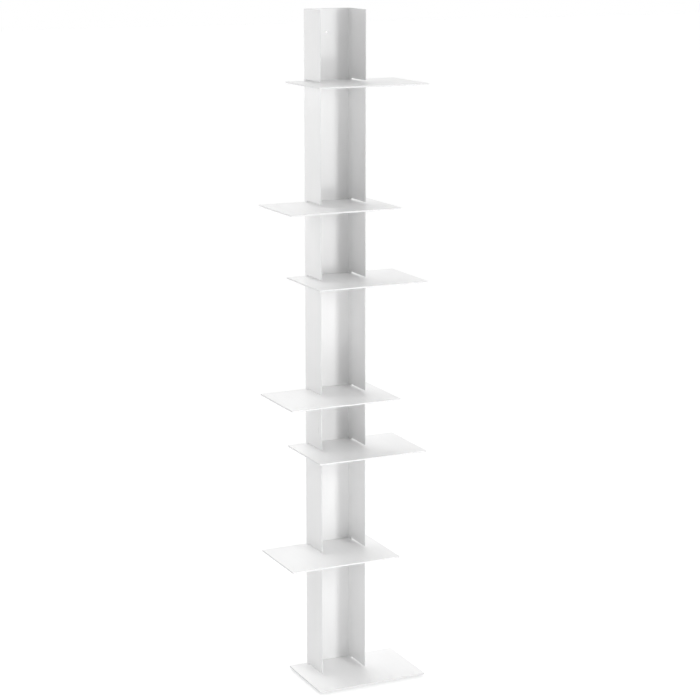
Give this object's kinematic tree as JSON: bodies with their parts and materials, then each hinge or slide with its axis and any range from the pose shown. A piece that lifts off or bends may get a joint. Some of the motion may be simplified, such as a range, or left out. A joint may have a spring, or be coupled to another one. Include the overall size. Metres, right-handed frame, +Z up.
{
  "type": "spine bookshelf",
  "caption": "Tall white sheet-steel spine bookshelf: a folded channel column holds flat shelf plates that slot in from the front, shifted by turns to the right and left.",
  "frame": {"origin": "on the floor, midway across the column and midway along the depth of the shelves", "axes": "+Z up; +Y to the wall behind, so the open side of the column faces -Y; +X to the right of someone facing the bookshelf"},
  "size_m": [0.375, 0.2, 1.727],
  "materials": {
    "column_paint": "white satin powder coat on folded sheet steel",
    "shelf_paint": "white satin powder coat on flat sheet steel",
    "pad_rubber": "matt dark rubber"
  },
  "bodies": {
    "column": {"column": "column_paint", "base_shelf": "shelf_paint", "front_left_pad": "pad_rubber", "front_right_pad": "pad_rubber", "back_left_pad": "pad_rubber", "back_right_pad": "pad_rubber"},
    "first_shelf": {"first_shelf": "shelf_paint"},
    "second_shelf": {"second_shelf": "shelf_paint"},
    "third_shelf": {"third_shelf": "shelf_paint"},
    "fourth_shelf": {"fourth_shelf": "shelf_paint"},
    "fifth_shelf": {"fifth_shelf": "shelf_paint"},
    "top_shelf": {"top_shelf": "shelf_paint"}
  },
  "joints": [
    {"name": "first_shelf_slide", "type": "slide", "parent": "column", "child": "first_shelf", "axis": [0, -1, 0], "range_m": [0, 0.08]},
    {"name": "second_shelf_slide", "type": "slide", "parent": "column", "child": "second_shelf", "axis": [0, -1, 0], "range_m": [0, 0.08]},
    {"name": "third_shelf_slide", "type": "slide", "parent": "column", "child": "third_shelf", "axis": [0, -1, 0], "range_m": [0, 0.08]},
    {"name": "fourth_shelf_slide", "type": "slide", "parent": "column", "child": "fourth_shelf", "axis": [0, -1, 0], "range_m": [0, 0.08]},
    {"name": "fifth_shelf_slide", "type": "slide", "parent": "column", "child": "fifth_shelf", "axis": [0, -1, 0], "range_m": [0, 0.08]},
    {"name": "top_shelf_slide", "type": "slide", "parent": "column", "child": "top_shelf", "axis": [0, -1, 0], "range_m": [0, 0.08]}
  ]
}
